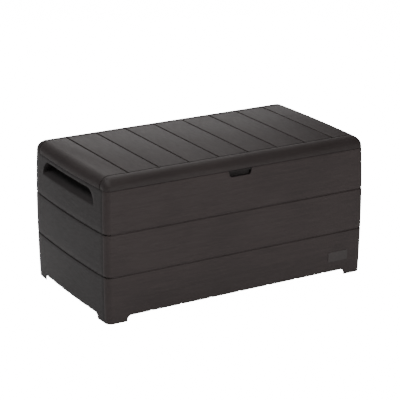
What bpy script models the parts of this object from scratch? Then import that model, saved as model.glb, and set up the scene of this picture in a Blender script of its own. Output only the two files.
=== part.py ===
"""Deck storage box: a resin chest of clip-together wall panels with a planked lid.

Metres, +Z up. The origin is on the ground under the centre of the whole box, the front
faces -Y and the lid hinges at the rear, +Y. Wall and lid pieces are first modelled
square, then barrel() gives them the chest's slightly bulging shape, all by one rule, so
their gaps stay as drawn.
"""

import math

import bmesh
import bpy
from mathutils import Matrix, Vector

# ---- driving sizes ------------------------------------------------------------------
WIDTH = 1.290  # across the front, corner to corner
DEPTH = 0.706  # front face to rear face
HEIGHT = 0.636  # ground to the top of the lid
END_BOW = 0.012  # bulge of each end at mid-depth
TOP_INSET = 0.008  # lean of the walls towards the top
FOOT_INSET = 0.0045  # lean of the walls towards the ground

WALL = 0.022  # wall panel, skin and ribs together
SKIN = 0.004  # moulded skin
RIB = 0.004  # stiffening rib behind a wall's skin
CORNER_RADIUS = 0.026  # upright corners, in plan
RETURN = 0.030  # how far front and rear panels turn round the corner
PANEL_GAP = 0.0006  # between pieces that follow the same curve
FIT_GAP = 0.0004  # between flat pieces that touch

BOARD_GROOVES = (0.210, 0.3975)  # heights of the two grooves round the walls
GROOVE_WIDTH = 0.0065
GROOVE_DEPTH = 0.004
GROOVE_BACKING = 0.016  # solid band behind each groove

SKIRT = 0.052  # height of the lid's side
LID_GAP = 0.0012  # lid's lower edge above the wall's shoulder
RIM_HEIGHT = 0.022  # rim that stands up inside the lid
RIM_SETBACK = 0.009  # rim's outer face in from the wall's
RIM_WALL = 0.004

LID_ROLL = 0.043  # radius over the lid's edges
LID_TOP_CORNER = 0.008  # plan radius where the roll meets the top
CROSS_BOARD = 0.053  # front and rear board of the lid, in plan
CREASE_DEPTH = 0.0025
PLANKS = 9
PLANK_PITCH = 0.1455
LID_RIB = 0.015  # rib under each plank groove
LID_RIB_DEPTH = 0.0165
LINER = 0.003  # inner skin of the lid
LINER_GAP = 0.0005

FOOT_WIDTH = 0.095  # corner foot, from the corner
FOOT_HEIGHT = 0.026
FOOT_CURVE = 0.020

LEDGE_TOP = 0.042  # shelf that carries the floor
LEDGE_REACH = 0.012
LEDGE_THICK = 0.008
FLOOR_RIB_DEPTH = 0.016
FLOOR_FOOT = 0.070

NOTCH_WIDTH = 0.116  # finger recess at the front
NOTCH_HEIGHT = 0.029
NOTCH_DEPTH = 0.014
NOTCH_CURVE = 0.010

SCOOP_FROM_CORNER = 0.104  # hand hold in each end, from the front and the rear
SCOOP_LENGTH = DEPTH - 2 * SCOOP_FROM_CORNER
SCOOP_TOP = 0.5676
SCOOP_HEIGHT = 0.0686
SCOOP_END = 0.057  # length of its rounded ends
SCOOP_DEPTH = 0.042
SCOOP_BACK = 0.022  # upright part of its back wall
SCOOP_WALL = 0.0045

HINGE_PLACES = (-0.430, 0.0, 0.430)
HINGE_WIDTH = 0.070
HINGE_PLATE = 0.0028
HINGE_WALL_LENGTH = 0.038
HINGE_LID_ANGLE = math.radians(46)
KNUCKLE_RADIUS = 0.0065
KNUCKLE_SPLIT = 0.015  # half the width of the lid's knuckle
AXIS_OUT = 0.007  # hinge axis behind the rear face
PIN_RADIUS = 0.003
PIN_CLEARANCE = 0.00006
SCREW_RADIUS = 0.0021
SCREW_LENGTH = 0.010
SCREW_HEAD = 0.0042
SCREW_SPACING = 0.048

LID_OPENING = math.radians(75)
STRUT_FROM_CENTRE = 0.590  # the plane each gas strut moves in
LID_BALL = (0.0609, 0.0092)  # forward of and above the hinge axis
WALL_BALL = (0.1572, -0.2129)
TUBE_RADIUS = 0.009
TUBE_BORE = 0.0065
TUBE_LENGTH = 0.186
ROD_RADIUS = 0.004
ROD_IN_TUBE = 0.112  # length of rod inside the tube with the lid shut
SOCKET_RADIUS = 0.008
SOCKET_WIDTH = 0.009
ROD_CLEARANCE = 0.0001
BALL_RADIUS = 0.005
BALL_GAP = 0.0001
BRACKET_SIZE = (0.052, 0.044)
BRACKET_THICK = 0.004

PLATE_SIZE = (0.104, 0.046)  # blank plate low on the front
PLATE_CENTRE = (0.514, 0.096)
PLATE_THICK = 0.0012

# ---- places that follow from them -----------------------------------------------------
SEAM = HEIGHT - SKIRT  # shoulder of the walls
RIM_TOP = SEAM + RIM_HEIGHT
CEILING = HEIGHT - SKIN
RIB_BOTTOM = CEILING - LID_RIB_DEPTH
LINER_TOP = RIB_BOTTOM - LINER_GAP
LINER_BOTTOM = LINER_TOP - LINER
ROLL_CENTRE = HEIGHT - LID_ROLL
LEFT, RIGHT = -WIDTH / 2, WIDTH / 2


def inset(z):
    """How far the walls lean in at height z."""
    t = (z - HEIGHT / 2) / (HEIGHT / 2)
    return (TOP_INSET if t > 0 else FOOT_INSET) * t * t


HINGE_PROUD = AXIS_OUT + KNUCKLE_RADIUS - inset(SEAM)
BODY_Y = -HINGE_PROUD / 2
FRONT, REAR = BODY_Y - DEPTH / 2, BODY_Y + DEPTH / 2
AXIS_Y = REAR - inset(SEAM) + AXIS_OUT


def barrel(point):
    """A point of the square chest moved onto the bulging one."""
    x, y, z = point
    u = (y - BODY_Y) / (DEPTH / 2)
    lean = inset(z)
    bow = END_BOW * (1 - u * u)
    x += math.copysign(1, x) * (bow - lean) * abs(x / (WIDTH / 2)) ** 6
    y = BODY_Y + (y - BODY_Y) * (1 - lean / (DEPTH / 2))
    return Vector((x, y, z))


# ---- materials ------------------------------------------------------------------------
def material(name, colour, roughness, metallic=0.0):
    made = bpy.data.materials.new(name)
    made.use_nodes = True
    shader = made.node_tree.nodes["Principled BSDF"]
    shader.inputs["Base Color"].default_value = (*colour, 1.0)
    shader.inputs["Roughness"].default_value = roughness
    shader.inputs["Metallic"].default_value = metallic
    return made


# ---- building blocks ------------------------------------------------------------------
def clear_scene():
    for old in list(bpy.data.objects):
        bpy.data.objects.remove(old, do_unlink=True)


def add(name, shape):
    """A bmesh made an object."""
    mesh = bpy.data.meshes.new(name)
    shape.to_mesh(mesh)
    shape.free()
    made = bpy.data.objects.new(name, mesh)
    bpy.context.scene.collection.objects.link(made)
    return made


def boxes(name, corners):
    """One object of separate boxes, each given by its low and high corner."""
    shape = bmesh.new()
    for low, high in corners:
        low, high = Vector(low), Vector(high)
        place = Matrix.Translation((low + high) / 2) @ Matrix.Diagonal((*(high - low), 1))
        bmesh.ops.create_cube(shape, size=1, matrix=place)
    return add(name, shape)


def prism(name, outline, along, low, high):
    """An outline extruded along one axis. Its points are given in the other two, in order."""
    spread = {
        "X": lambda a, b: (low, a, b),
        "Y": lambda a, b: (a, low, b),
        "Z": lambda a, b: (a, b, low),
    }[along]
    step = {"X": (high - low, 0, 0), "Y": (0, high - low, 0), "Z": (0, 0, high - low)}[along]
    shape = bmesh.new()
    face = shape.faces.new([shape.verts.new(spread(a, b)) for a, b in outline])
    grown = bmesh.ops.extrude_face_region(shape, geom=[face])["geom"]
    moved = [item for item in grown if isinstance(item, bmesh.types.BMVert)]
    bmesh.ops.translate(shape, vec=step, verts=moved)
    bmesh.ops.recalc_face_normals(shape, faces=shape.faces)
    return add(name, shape)


def loft(name, rings):
    """A closed solid through rings of equally many points."""
    shape = bmesh.new()
    rows = [[shape.verts.new(point) for point in ring] for ring in rings]
    count = len(rows[0])
    for lower, upper in zip(rows, rows[1:]):
        for i in range(count):
            j = (i + 1) % count
            shape.faces.new((lower[i], lower[j], upper[j], upper[i]))
    shape.faces.new(rows[0][::-1])
    shape.faces.new(rows[-1])
    bmesh.ops.recalc_face_normals(shape, faces=shape.faces)
    return add(name, shape)


def turned(name, profile, place, sides=16):
    """A profile of (radius, height) points turned about its own axis, then placed."""
    rings = []
    for radius, height in profile:
        angles = [2 * math.pi * (i + 0.5) / sides for i in range(sides)]
        rings.append([place @ Vector((radius * math.cos(a), radius * math.sin(a), height)) for a in angles])
    return loft(name, rings)


def bake(piece):
    """Its modifiers made part of its mesh."""
    graph = bpy.context.evaluated_depsgraph_get()
    mesh = bpy.data.meshes.new_from_object(piece.evaluated_get(graph))
    piece.modifiers.clear()
    old, piece.data = piece.data, mesh
    mesh.name = piece.name
    bpy.data.meshes.remove(old)


def combine(piece, tool, operation):
    modifier = piece.modifiers.new(operation.title(), "BOOLEAN")
    modifier.operation = operation
    modifier.solver = "EXACT"
    modifier.object = tool
    bake(piece)
    bpy.data.objects.remove(tool, do_unlink=True)
    return piece


def cut(piece, tool):
    return combine(piece, tool, "DIFFERENCE")


def join(piece, tool):
    return combine(piece, tool, "UNION")


def common(piece, tool):
    return combine(piece, tool, "INTERSECT")


def place_key(point):
    return tuple(round(value, 5) for value in point)


def split_quads(shape):
    """Every plain four-sided face split the same way each time, from its lowest corner."""
    for face in sorted(shape.faces, key=lambda f: place_key(f.calc_center_median())):
        ring = list(face.verts)
        if len(ring) != 4:
            continue
        turns = []
        for i in range(4):
            back = (ring[i].co - ring[i - 1].co).normalized()
            ahead = (ring[(i + 1) % 4].co - ring[i].co).normalized()
            turns.append(back.cross(ahead).dot(face.normal))
        if min(turns) < 0.02:
            continue
        first = min(range(4), key=lambda i: place_key(ring[i].co))
        bmesh.utils.face_split(face, ring[first], ring[(first + 2) % 4])


def slice_and_barrel(piece, heights, places=()):
    """Cuts the faces at the given heights and y places, then gives them the barrel shape."""
    shape = bmesh.new()
    shape.from_mesh(piece.data)
    planes = [((0, 0, z), (0, 0, 1)) for z in heights] + [((0, y, 0), (0, 1, 0)) for y in places]
    for point, normal in planes:
        everything = shape.verts[:] + shape.edges[:] + shape.faces[:]
        bmesh.ops.bisect_plane(shape, geom=everything, plane_co=point, plane_no=normal, dist=1e-6)
    split_quads(shape)
    bmesh.ops.triangulate(shape, faces=shape.faces)
    for vertex in shape.verts:
        vertex.co = barrel(vertex.co)
    shape.to_mesh(piece.data)
    shape.free()
    return piece


def finish(piece, look, smooth_over=40):
    """Its material, and shading that is smooth up to that angle in degrees."""
    piece.data.materials.clear()
    piece.data.materials.append(look)
    piece.data.shade_smooth()
    piece.data.set_sharp_from_angle(angle=math.radians(smooth_over))
    return piece


def arc(centre, radii, start, end, steps):
    """Points on an ellipse's arc, angles in degrees."""
    points = []
    for i in range(steps + 1):
        angle = math.radians(start + (end - start) * i / steps)
        points.append((centre[0] + radii[0] * math.cos(angle), centre[1] + radii[1] * math.sin(angle)))
    return points


def even(low, high, count):
    """The places of count equal cells: (start, end) of each, a rib's width apart."""
    pitch = (high - low + RIB) / count
    return [(low + i * pitch, low + (i + 1) * pitch - RIB) for i in range(count)]


# ---- wall panels ----------------------------------------------------------------------
CURVE_HEIGHTS = [HEIGHT * k / 8 for k in range(1, 8)]
CURVE_PLACES = [BODY_Y + DEPTH * k / 12 for k in range(-5, 6)]
BAND_TOPS = (*BOARD_GROOVES, SEAM)
POCKET_ROWS = []
row_start = LEDGE_TOP + 0.006
for band in BAND_TOPS:
    POCKET_ROWS.append((row_start, band - GROOVE_BACKING / 2))
    row_start = band + GROOVE_BACKING / 2


def outline_path(offset):
    """From one return end round the front corners to the other, that far inside the face."""
    radius = CORNER_RADIUS - offset
    left = arc((LEFT + CORNER_RADIUS, CORNER_RADIUS), (radius, radius), 180, 270, 5)
    right = arc((RIGHT - CORNER_RADIUS, CORNER_RADIUS), (radius, radius), 270, 360, 5)
    return [(LEFT + offset, RETURN), *left, *right, (RIGHT - offset, RETURN)]


def at_front(outline):
    return [(x, FRONT + y) for x, y in outline]


def at_rear(outline):
    return [(x, REAR - y) for x, y in outline]


def arch(half, turn_over):
    """The opening between two feet: square at the ground, curved into the wall's edge."""
    rise = FOOT_HEIGHT - FOOT_CURVE
    left = arc((-half + FOOT_CURVE, rise), (FOOT_CURVE, FOOT_CURVE), 180, 90, 5)
    right = arc((half - FOOT_CURVE, rise), (FOOT_CURVE, FOOT_CURVE), 90, 0, 5)
    return [(turn_over + u, z) for u, z in [(-half, -0.01), *left, *right, (half, -0.01)]]


def long_panel(name, placed):
    """Front or rear panel: its face, both corners, the rim, the ribs and the floor's ledge."""
    inner = [(RIGHT - WALL, RETURN), (RIGHT - WALL, WALL), (LEFT + WALL, WALL), (LEFT + WALL, RETURN)]
    panel = prism(name, placed(outline_path(0) + inner), "Z", 0, SEAM)
    rim = outline_path(RIM_SETBACK) + outline_path(RIM_SETBACK + RIM_WALL)[::-1]
    join(panel, prism("rim", placed(rim), "Z", SEAM - SKIN, RIM_TOP))
    middle = placed([(0, 0)])[0][1]
    inward = 1 if placed is at_front else -1
    feet = arch(RIGHT - FOOT_WIDTH, 0)
    reach = sorted((middle - inward * 0.01, middle + inward * (RETURN + 0.01)))
    cut(panel, prism("opening", feet, "Y", *reach))
    for z in BOARD_GROOVES:
        outside = [(RIGHT + 0.01, RETURN + 0.01), (RIGHT + 0.01, -0.01), (LEFT - 0.01, -0.01), (LEFT - 0.01, RETURN + 0.01)]
        path = outline_path(GROOVE_DEPTH)
        path = [(LEFT + GROOVE_DEPTH, RETURN + 0.01), *path, (RIGHT - GROOVE_DEPTH, RETURN + 0.01)]
        groove = prism("groove", placed(path + outside), "Z", z - GROOVE_WIDTH / 2, z + GROOVE_WIDTH / 2)
        cut(panel, groove)
    pockets = []
    for x0, x1 in even(LEFT + RETURN, RIGHT - RETURN, 11):
        for z0, z1 in POCKET_ROWS:
            y0, y1 = sorted((middle + inward * SKIN, middle + inward * (WALL + 0.01)))
            pockets.append(((x0, y0, z0), (x1, y1, z1)))
    cut(panel, boxes("pockets", pockets))
    y0, y1 = sorted((middle + inward * (WALL - 0.004), middle + inward * (WALL + LEDGE_REACH)))
    ledge_end = RIGHT - WALL - PANEL_GAP
    join(panel, boxes("ledge", [((-ledge_end, y0, LEDGE_TOP - LEDGE_THICK), (ledge_end, y1, LEDGE_TOP))]))
    return panel


def front_panel(look):
    panel = long_panel("front_panel", at_front)
    # A deeper block carries the finger recess and, beside it, the two lid bumpers.
    block = NOTCH_WIDTH / 2 + 0.020
    top = [((-block, FRONT + RIM_SETBACK, SEAM - 0.050), (block, FRONT + WALL, RIM_TOP))]
    join(panel, boxes("block", top))
    half = NOTCH_WIDTH / 2
    low = SEAM - NOTCH_HEIGHT
    left = arc((-half + NOTCH_CURVE + 0.005, low + NOTCH_CURVE), (NOTCH_CURVE, NOTCH_CURVE), 180, 270, 4)
    right = arc((half - NOTCH_CURVE - 0.005, low + NOTCH_CURVE), (NOTCH_CURVE, NOTCH_CURVE), 270, 360, 4)
    notch = [(-half, RIM_TOP + 0.01), (-half, SEAM), *left, *right, (half, SEAM), (half, RIM_TOP + 0.01)]
    cut(panel, prism("notch", notch, "Y", FRONT - 0.01, FRONT + NOTCH_DEPTH))
    return finish(slice_and_barrel(panel, CURVE_HEIGHTS), look)


def rear_panel(look):
    panel = long_panel("rear_panel", at_rear)
    half = HINGE_WIDTH / 2 + 0.004
    bosses = []
    gaps = []
    for x in HINGE_PLACES:
        bosses.append(((x - half, REAR - WALL, SEAM - 0.056), (x + half, REAR - 0.002, SEAM - 0.004)))
        gaps.append(((x - half, REAR - WALL - 0.01, SEAM), (x + half, REAR + 0.01, RIM_TOP + 0.01)))
    join(panel, boxes("bosses", bosses))
    cut(panel, boxes("gaps", gaps))
    slice_and_barrel(panel, CURVE_HEIGHTS)
    for x in HINGE_PLACES:
        for place in wall_screw_places(x):
            cut(panel, screw_hole(place))
    return finish(panel, look)


def scoop_profile(extra):
    """Section of the hand hold, as (depth, height): an S-shaped lip, then an upright back."""
    low = SCOOP_TOP - SCOOP_HEIGHT
    swept = SCOOP_HEIGHT - SCOOP_BACK
    deep = SCOOP_DEPTH + extra
    points = []
    for i in range(9):
        share = i / 8
        depth = deep * (1 - math.cos(math.pi * share)) / 2
        points.append((depth, low + swept * share - extra))
    points += [(deep, SCOOP_TOP - 0.007 + extra), (deep - 0.006, SCOOP_TOP + extra)]
    return points


def scoop_outline(extra):
    """The hand hold seen from the side, as (y, z)."""
    half = SCOOP_LENGTH / 2
    low = SCOOP_TOP - SCOOP_HEIGHT
    radii = (SCOOP_END + extra, SCOOP_HEIGHT + extra)
    right = arc((BODY_Y + half - SCOOP_END, low), radii, 0, 90, 6)
    left = arc((BODY_Y - half + SCOOP_END, low), radii, 90, 180, 6)
    foot = low - 0.012
    return [*right, *left, (BODY_Y - half - extra, foot), (BODY_Y + half + extra, foot)]


def end_panel(name, side, look):
    """Left or right end: side is -1 or 1."""
    face = side * RIGHT
    y0, y1 = FRONT + RETURN + PANEL_GAP, REAR - RETURN - PANEL_GAP

    def across(near, far):
        return sorted((face - side * near, face - side * far))

    def slab(near, far, low, high):
        x0, x1 = across(near, far)
        return ((x0, y0, low), (x1, y1, high))

    panel = boxes(name, [slab(0, WALL, 0, SEAM)])
    join(panel, boxes("rim", [slab(RIM_SETBACK, RIM_SETBACK + RIM_WALL, SEAM - SKIN, RIM_TOP)]))
    cut(panel, prism("opening", arch(DEPTH / 2 - FOOT_WIDTH, BODY_Y), "X", *across(-0.01, WALL + 0.01)))
    grooves = []
    for z in BOARD_GROOVES:
        x0, x1 = across(-0.01, GROOVE_DEPTH)
        low, high = z - GROOVE_WIDTH / 2, z + GROOVE_WIDTH / 2
        grooves.append(((x0, y0 - 0.01, low), (x1, y1 + 0.01, high)))
    cut(panel, boxes("grooves", grooves))
    x0, x1 = across(SKIN, WALL + 0.01)
    pockets = []
    for a, b in even(y0 + RIB, y1 - RIB, 6):
        for z0, z1 in POCKET_ROWS:
            pockets.append(((x0, a, z0), (x1, b, z1)))
    cut(panel, boxes("pockets", pockets))
    x0, x1 = across(SKIN - 0.001, WALL)
    ball_y, ball_z = from_axis(*WALL_BALL)
    half_y, half_z = BRACKET_SIZE[0] / 2 + 0.003, BRACKET_SIZE[1] / 2 + 0.003
    join(panel, boxes("pad", [((x0, ball_y - half_y, ball_z - half_z), (x1, ball_y + half_y, ball_z + half_z))]))
    x0, x1 = across(WALL - 0.004, WALL + LEDGE_REACH)
    ends = (y0 + LEDGE_REACH, y1 - LEDGE_REACH)
    join(panel, boxes("ledge", [((x0, ends[0], LEDGE_TOP - LEDGE_THICK), (x1, ends[1], LEDGE_TOP))]))

    def swept(name, extra, start):
        profile = [point for point in scoop_profile(extra) if point[0] > start + 0.0005]
        section = [(start, profile[0][1]), *profile, (start, profile[-1][1])]
        section = [(face - side * depth, z) for depth, z in section]
        reach = SCOOP_LENGTH / 2 + 0.02
        solid = prism(name, section, "Y", BODY_Y - reach, BODY_Y + reach)
        return common(solid, prism("outline", scoop_outline(extra), "X", *across(-0.02, 0.08)))

    housing = swept("housing", SCOOP_WALL, 0.0015)
    join(panel, housing)
    cut(panel, swept("hollow", 0, -0.01))
    return finish(slice_and_barrel(panel, CURVE_HEIGHTS, CURVE_PLACES), look)


def corner_post(name, side, end, look):
    """L-shaped post inside one corner: side is -1 or 1 along X, end is -1 at the front."""
    leg, thick = 0.040, 0.003
    corner = (side * (RIGHT - WALL - PANEL_GAP), (FRONT if end < 0 else REAR) - end * (WALL + PANEL_GAP))
    steps = ((0, 0), (leg, 0), (leg, thick), (thick, thick), (thick, leg), (0, leg))
    outline = [(corner[0] - side * a, corner[1] - end * b) for a, b in steps]
    post = prism(name, outline, "Z", LEDGE_TOP + 0.006, SEAM - 0.024)
    return finish(slice_and_barrel(post, CURVE_HEIGHTS), look)


# ---- floor ----------------------------------------------------------------------------
def floor_panel(look):
    """A ribbed tray whose edge rests on the walls' ledge."""
    half_x = RIGHT - WALL - 0.001
    half_y = DEPTH / 2 - WALL - 0.001
    low = LEDGE_TOP + FIT_GAP
    panel = boxes("floor_panel", [((-half_x, BODY_Y - half_y, low), (half_x, BODY_Y + half_y, low + SKIN))])
    core_x = half_x - LEDGE_REACH - 0.002
    core_y = half_y - LEDGE_REACH - 0.002
    core_low = low + SKIN - FLOOR_RIB_DEPTH
    join(panel, boxes("core", [((-core_x, BODY_Y - core_y, core_low), (core_x, BODY_Y + core_y, low + 0.002))]))
    pockets = []
    for x0, x1 in even(-core_x + RIB, core_x - RIB, 11):
        for y0, y1 in even(BODY_Y - core_y + RIB, BODY_Y + core_y - RIB, 5):
            pockets.append(((x0, y0, core_low - 0.01), (x1, y1, low)))
    cut(panel, boxes("pockets", pockets))
    slice_and_barrel(panel, (), CURVE_PLACES)
    return finish(panel, look)


def floor_feet(look):
    """Six blocks that carry the floor's middle on the ground."""
    top = LEDGE_TOP + FIT_GAP + SKIN - FLOOR_RIB_DEPTH - FIT_GAP
    row = 0.36 * DEPTH / 2
    column = 0.62 * WIDTH / 2
    places = [(x, BODY_Y + y) for y in (-row, row) for x in (-column, 0, column)]
    for number, (x, y) in enumerate(places, start=1):
        rings = []
        for half, z in ((FLOOR_FOOT / 2 - 0.006, 0), (FLOOR_FOOT / 2, top)):
            rings.append([(x - half, y - half, z), (x + half, y - half, z), (x + half, y + half, z), (x - half, y + half, z)])
        finish(loft(f"floor_foot_{number}", rings), look)


# ---- lid ------------------------------------------------------------------------------
def rounded_ring(edge, radius, z, steps=5):
    """A rounded rectangle, that far inside the chest's outline, at height z."""
    x, y = WIDTH / 2 - edge - radius, DEPTH / 2 - edge - radius
    ring = []
    for sx, sy, start in ((1, -1, 270), (1, 1, 0), (-1, 1, 90), (-1, -1, 180)):
        ring += arc((sx * x, BODY_Y + sy * y), (radius, radius), start, start + 90, steps)
    return [(a, b, z) for a, b in ring]


def roll_inset(z, extra=0.0):
    """How far the lid's rolled edge has turned in at height z, on a surface extra inside it."""
    rise = max(0.0, z - ROLL_CENTRE)
    radius = LID_ROLL - extra
    return extra + radius - math.sqrt(max(0.0, radius * radius - rise * rise))


def lid_ring(z, extra=0.0):
    turned_in = roll_inset(z, extra)
    share = (turned_in - extra) / (LID_ROLL - extra)
    radius = (CORNER_RADIUS - extra) * (1 - share) + LID_TOP_CORNER * share
    return rounded_ring(turned_in, radius, z)


def plank_grooves():
    return [(k - (PLANKS - 2) / 2) * PLANK_PITCH for k in range(PLANKS - 1)]


def lid_top(look):
    """The outer moulding: rolled edges, nine planks and a cross board at front and rear."""
    angles = [math.radians(a) for a in (0, 18, 36, 54, 72, 90)]
    heights = [SEAM + LID_GAP] + [ROLL_CENTRE + LID_ROLL * math.sin(a) for a in angles]
    lid = loft("lid_top", [lid_ring(z) for z in heights])
    inside = [SEAM - 0.01] + [ROLL_CENTRE + (RIB_BOTTOM - ROLL_CENTRE) * k / 3 for k in range(4)]
    cut(lid, loft("cavity", [lid_ring(z, SKIN) for z in inside]))
    grooves = plank_grooves()
    edges = [-(RIGHT - 0.050), *grooves, RIGHT - 0.050]
    reach = DEPTH / 2 - CROSS_BOARD - 0.010
    cells = []
    for k, (a, b) in enumerate(zip(edges, edges[1:])):
        x0 = a if k == 0 else a + LID_RIB / 2
        x1 = b if k == PLANKS - 1 else b - LID_RIB / 2
        for y0, y1 in even(BODY_Y - reach, BODY_Y + reach, 3):
            cells.append(((x0, y0, RIB_BOTTOM - 0.002), (x1, y1, CEILING)))
    cut(lid, boxes("cells", cells))
    bosses = []
    half = HINGE_WIDTH / 2 + 0.003
    for x in HINGE_PLACES:
        bosses.append(((x - half, REAR - 0.020, SEAM + 0.006), (x + half, REAR - SKIN - 0.001, LINER_BOTTOM - 0.001)))
    join(lid, boxes("bosses", bosses))
    plank_end = DEPTH / 2 - CROSS_BOARD
    bars = []
    for x in grooves:
        low = (x - GROOVE_WIDTH / 2, BODY_Y - plank_end, HEIGHT - GROOVE_DEPTH)
        bars.append((low, (x + GROOVE_WIDTH / 2, BODY_Y + plank_end, HEIGHT + 0.01)))
    cut(lid, boxes("plank_grooves", bars))
    for middle in (FRONT + CROSS_BOARD, REAR - CROSS_BOARD):
        cut(lid, crease_cutter(middle))
    places = [y for y in CURVE_PLACES]
    slice_and_barrel(lid, (), places)
    for x in HINGE_PLACES:
        for place in lid_screw_places(x):
            cut(lid, screw_hole(place))
    return finish(lid, look)


def crease_cutter(middle):
    """Cuts the groove that runs over the lid and down both ends beside a cross board."""
    radius = LID_ROLL - CREASE_DEPTH
    left = arc((LEFT + LID_ROLL, ROLL_CENTRE), (radius, radius), 180, 90, 6)
    right = arc((RIGHT - LID_ROLL, ROLL_CENTRE), (radius, radius), 90, 0, 6)
    low = SEAM - 0.01
    inner = [(LEFT + CREASE_DEPTH, low), *left, *right, (RIGHT - CREASE_DEPTH, low)]
    outer = [(RIGHT + 0.03, low), (RIGHT + 0.03, HEIGHT + 0.03), (LEFT - 0.03, HEIGHT + 0.03), (LEFT - 0.03, low)]
    return prism("crease", inner + outer, "Y", middle - GROOVE_WIDTH / 2, middle + GROOVE_WIDTH / 2)


def lid_liner(look):
    """The lid's flat inner skin, seen when it is open."""
    edge = max(roll_inset(LINER_TOP, SKIN) + 0.001, SCREW_LENGTH + 0.0035)
    rings = [rounded_ring(edge, 0.024, z) for z in (LINER_BOTTOM, LINER_TOP)]
    return finish(slice_and_barrel(loft("lid_liner", rings), (), CURVE_PLACES), look)


# ---- hinges ---------------------------------------------------------------------------
def rear_face(z, out):
    """A point that far outside the rear panel's face, as (y, z)."""
    return (REAR - inset(z) + out, z)


def roll_face(angle, out):
    """A point that far outside the lid's rolled rear edge, as (y, z)."""
    radius = LID_ROLL + out
    z = ROLL_CENTRE + radius * math.sin(angle)
    y = REAR - LID_ROLL + radius * math.cos(angle)
    return (y - inset(min(z, HEIGHT)), z)


def knuckle(name, x0, x1, web):
    """A hinge barrel with the web that ties it to its plate."""
    outline = arc((AXIS_Y, SEAM), (KNUCKLE_RADIUS, KNUCKLE_RADIUS), 0, 360, 20)[:-1]
    barrel_piece = prism(name, outline, "X", x0, x1)
    return join(barrel_piece, prism("web", web, "X", x0, x1))


def hinge(side_name, x, look, pin_look, screw_look):
    half = HINGE_WIDTH / 2
    inner, outer = FIT_GAP, FIT_GAP + HINGE_PLATE
    clear = KNUCKLE_RADIUS + 0.0007
    start = math.sqrt(clear**2 - (AXIS_OUT - outer) ** 2)
    low = SEAM - start - HINGE_WALL_LENGTH
    heights = [SEAM - start - HINGE_WALL_LENGTH * k / 4 for k in range(5)]
    plate = [rear_face(z, inner) for z in heights] + [rear_face(z, outer) for z in heights[::-1]]
    wall_half = prism(f"{side_name}_hinge_wall_half", plate, "X", x - half, x + half)
    web = [rear_face(heights[0] - 0.003, inner), rear_face(heights[0] - 0.003, outer)]
    web += [(AXIS_Y - 0.001, SEAM - 0.004), (AXIS_Y - 0.004, SEAM + 0.001), rear_face(SEAM - 0.001, inner + 0.0012)]
    for x0, x1 in ((x - half, x - KNUCKLE_SPLIT), (x + KNUCKLE_SPLIT, x + half)):
        join(wall_half, knuckle("knuckle", x0, x1, web))
    first = math.asin((SEAM + start - ROLL_CENTRE) / LID_ROLL) if SEAM + start > ROLL_CENTRE else 0.0
    angles = [first + (HINGE_LID_ANGLE - first) * k / 7 for k in range(8)]
    inside = [rear_face(SEAM + start, inner)] + [roll_face(a, inner) for a in angles]
    outside = [rear_face(SEAM + start, outer)] + [roll_face(a, outer) for a in angles]
    lid_half = prism(f"{side_name}_hinge_lid_half", inside + outside[::-1], "X", x - half, x + half)
    web = [rear_face(SEAM + start + 0.002, inner), rear_face(SEAM + start + 0.002, outer)]
    web += [(AXIS_Y - 0.001, SEAM + 0.004), (AXIS_Y - 0.004, SEAM - 0.001), rear_face(SEAM + 0.0018, inner + 0.0012)]
    reach = KNUCKLE_SPLIT - FIT_GAP
    join(lid_half, knuckle("knuckle", x - reach, x + reach, web))
    bore_radius = PIN_RADIUS + PIN_CLEARANCE
    for piece in (wall_half, lid_half):
        cut(piece, pin_shape("bore", x, bore_radius, half + 0.01))
    for place in wall_screw_places(x):
        cut(wall_half, screw_hole(place))
    for place in lid_screw_places(x):
        cut(lid_half, screw_hole(place))
    finish(wall_half, look)
    finish(lid_half, look)
    pin = pin_shape(f"{side_name}_hinge_pin", x, PIN_RADIUS, half + 0.0005)
    for end in (-1, 1):
        join(pin, pin_head(x + end * (half + 0.0005), end))
    finish(pin, pin_look)
    places = wall_screw_places(x) + lid_screw_places(x)
    for number, place in enumerate(places, start=1):
        finish(screw(f"{side_name}_hinge_screw_{number}", place), screw_look)
    return low


def along_x(x):
    """Puts a turned shape's axis on the hinge axis, starting at x."""
    return Matrix.Translation((x, AXIS_Y, SEAM)) @ Matrix.Rotation(math.pi / 2, 4, "Y")


def pin_shape(name, x, radius, half):
    return turned(name, [(radius, -half), (radius, half)], along_x(x), 32)


def pin_head(x, end):
    return turned("head", [(PIN_RADIUS + 0.001, h) for h in sorted((-end * 0.0002, end * 0.002))], along_x(x))


def wall_screw_places(x):
    """Screws of the wall half: their axes point out of the rear panel."""
    z = SEAM - 0.026
    y, z = rear_face(z, FIT_GAP + HINGE_PLATE)
    tilt = math.atan((inset(z + 0.01) - inset(z - 0.01)) / 0.02)
    return [screw_place(x + dx, y, z, tilt) for dx in (-SCREW_SPACING / 2, SCREW_SPACING / 2)]


def lid_screw_places(x):
    """Screws of the lid half: square to the rolled edge."""
    angle = math.radians(24)
    y, z = roll_face(angle, FIT_GAP + HINGE_PLATE)
    return [screw_place(x + dx, y, z, angle) for dx in (-SCREW_SPACING / 2, SCREW_SPACING / 2)]


def screw_place(x, y, z, tilt):
    """A frame whose Z points out of the rear, tilted up by that angle."""
    return Matrix.Translation((x, y, z)) @ Matrix.Rotation(tilt - math.pi / 2, 4, "X")


def screw_hole(place):
    radius = SCREW_RADIUS + 0.0006
    return turned("hole", [(radius, -SCREW_LENGTH - 0.001), (radius, 0.01)], place, 10)


def screw(name, place):
    flat = FIT_GAP
    profile = [(SCREW_RADIUS * 0.5, -SCREW_LENGTH), (SCREW_RADIUS, -SCREW_LENGTH + 0.002), (SCREW_RADIUS, flat)]
    profile += [(SCREW_HEAD, flat), (SCREW_HEAD, flat + 0.001), (SCREW_HEAD * 0.6, flat + 0.0022)]
    return turned(name, profile, place, 10)


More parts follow.
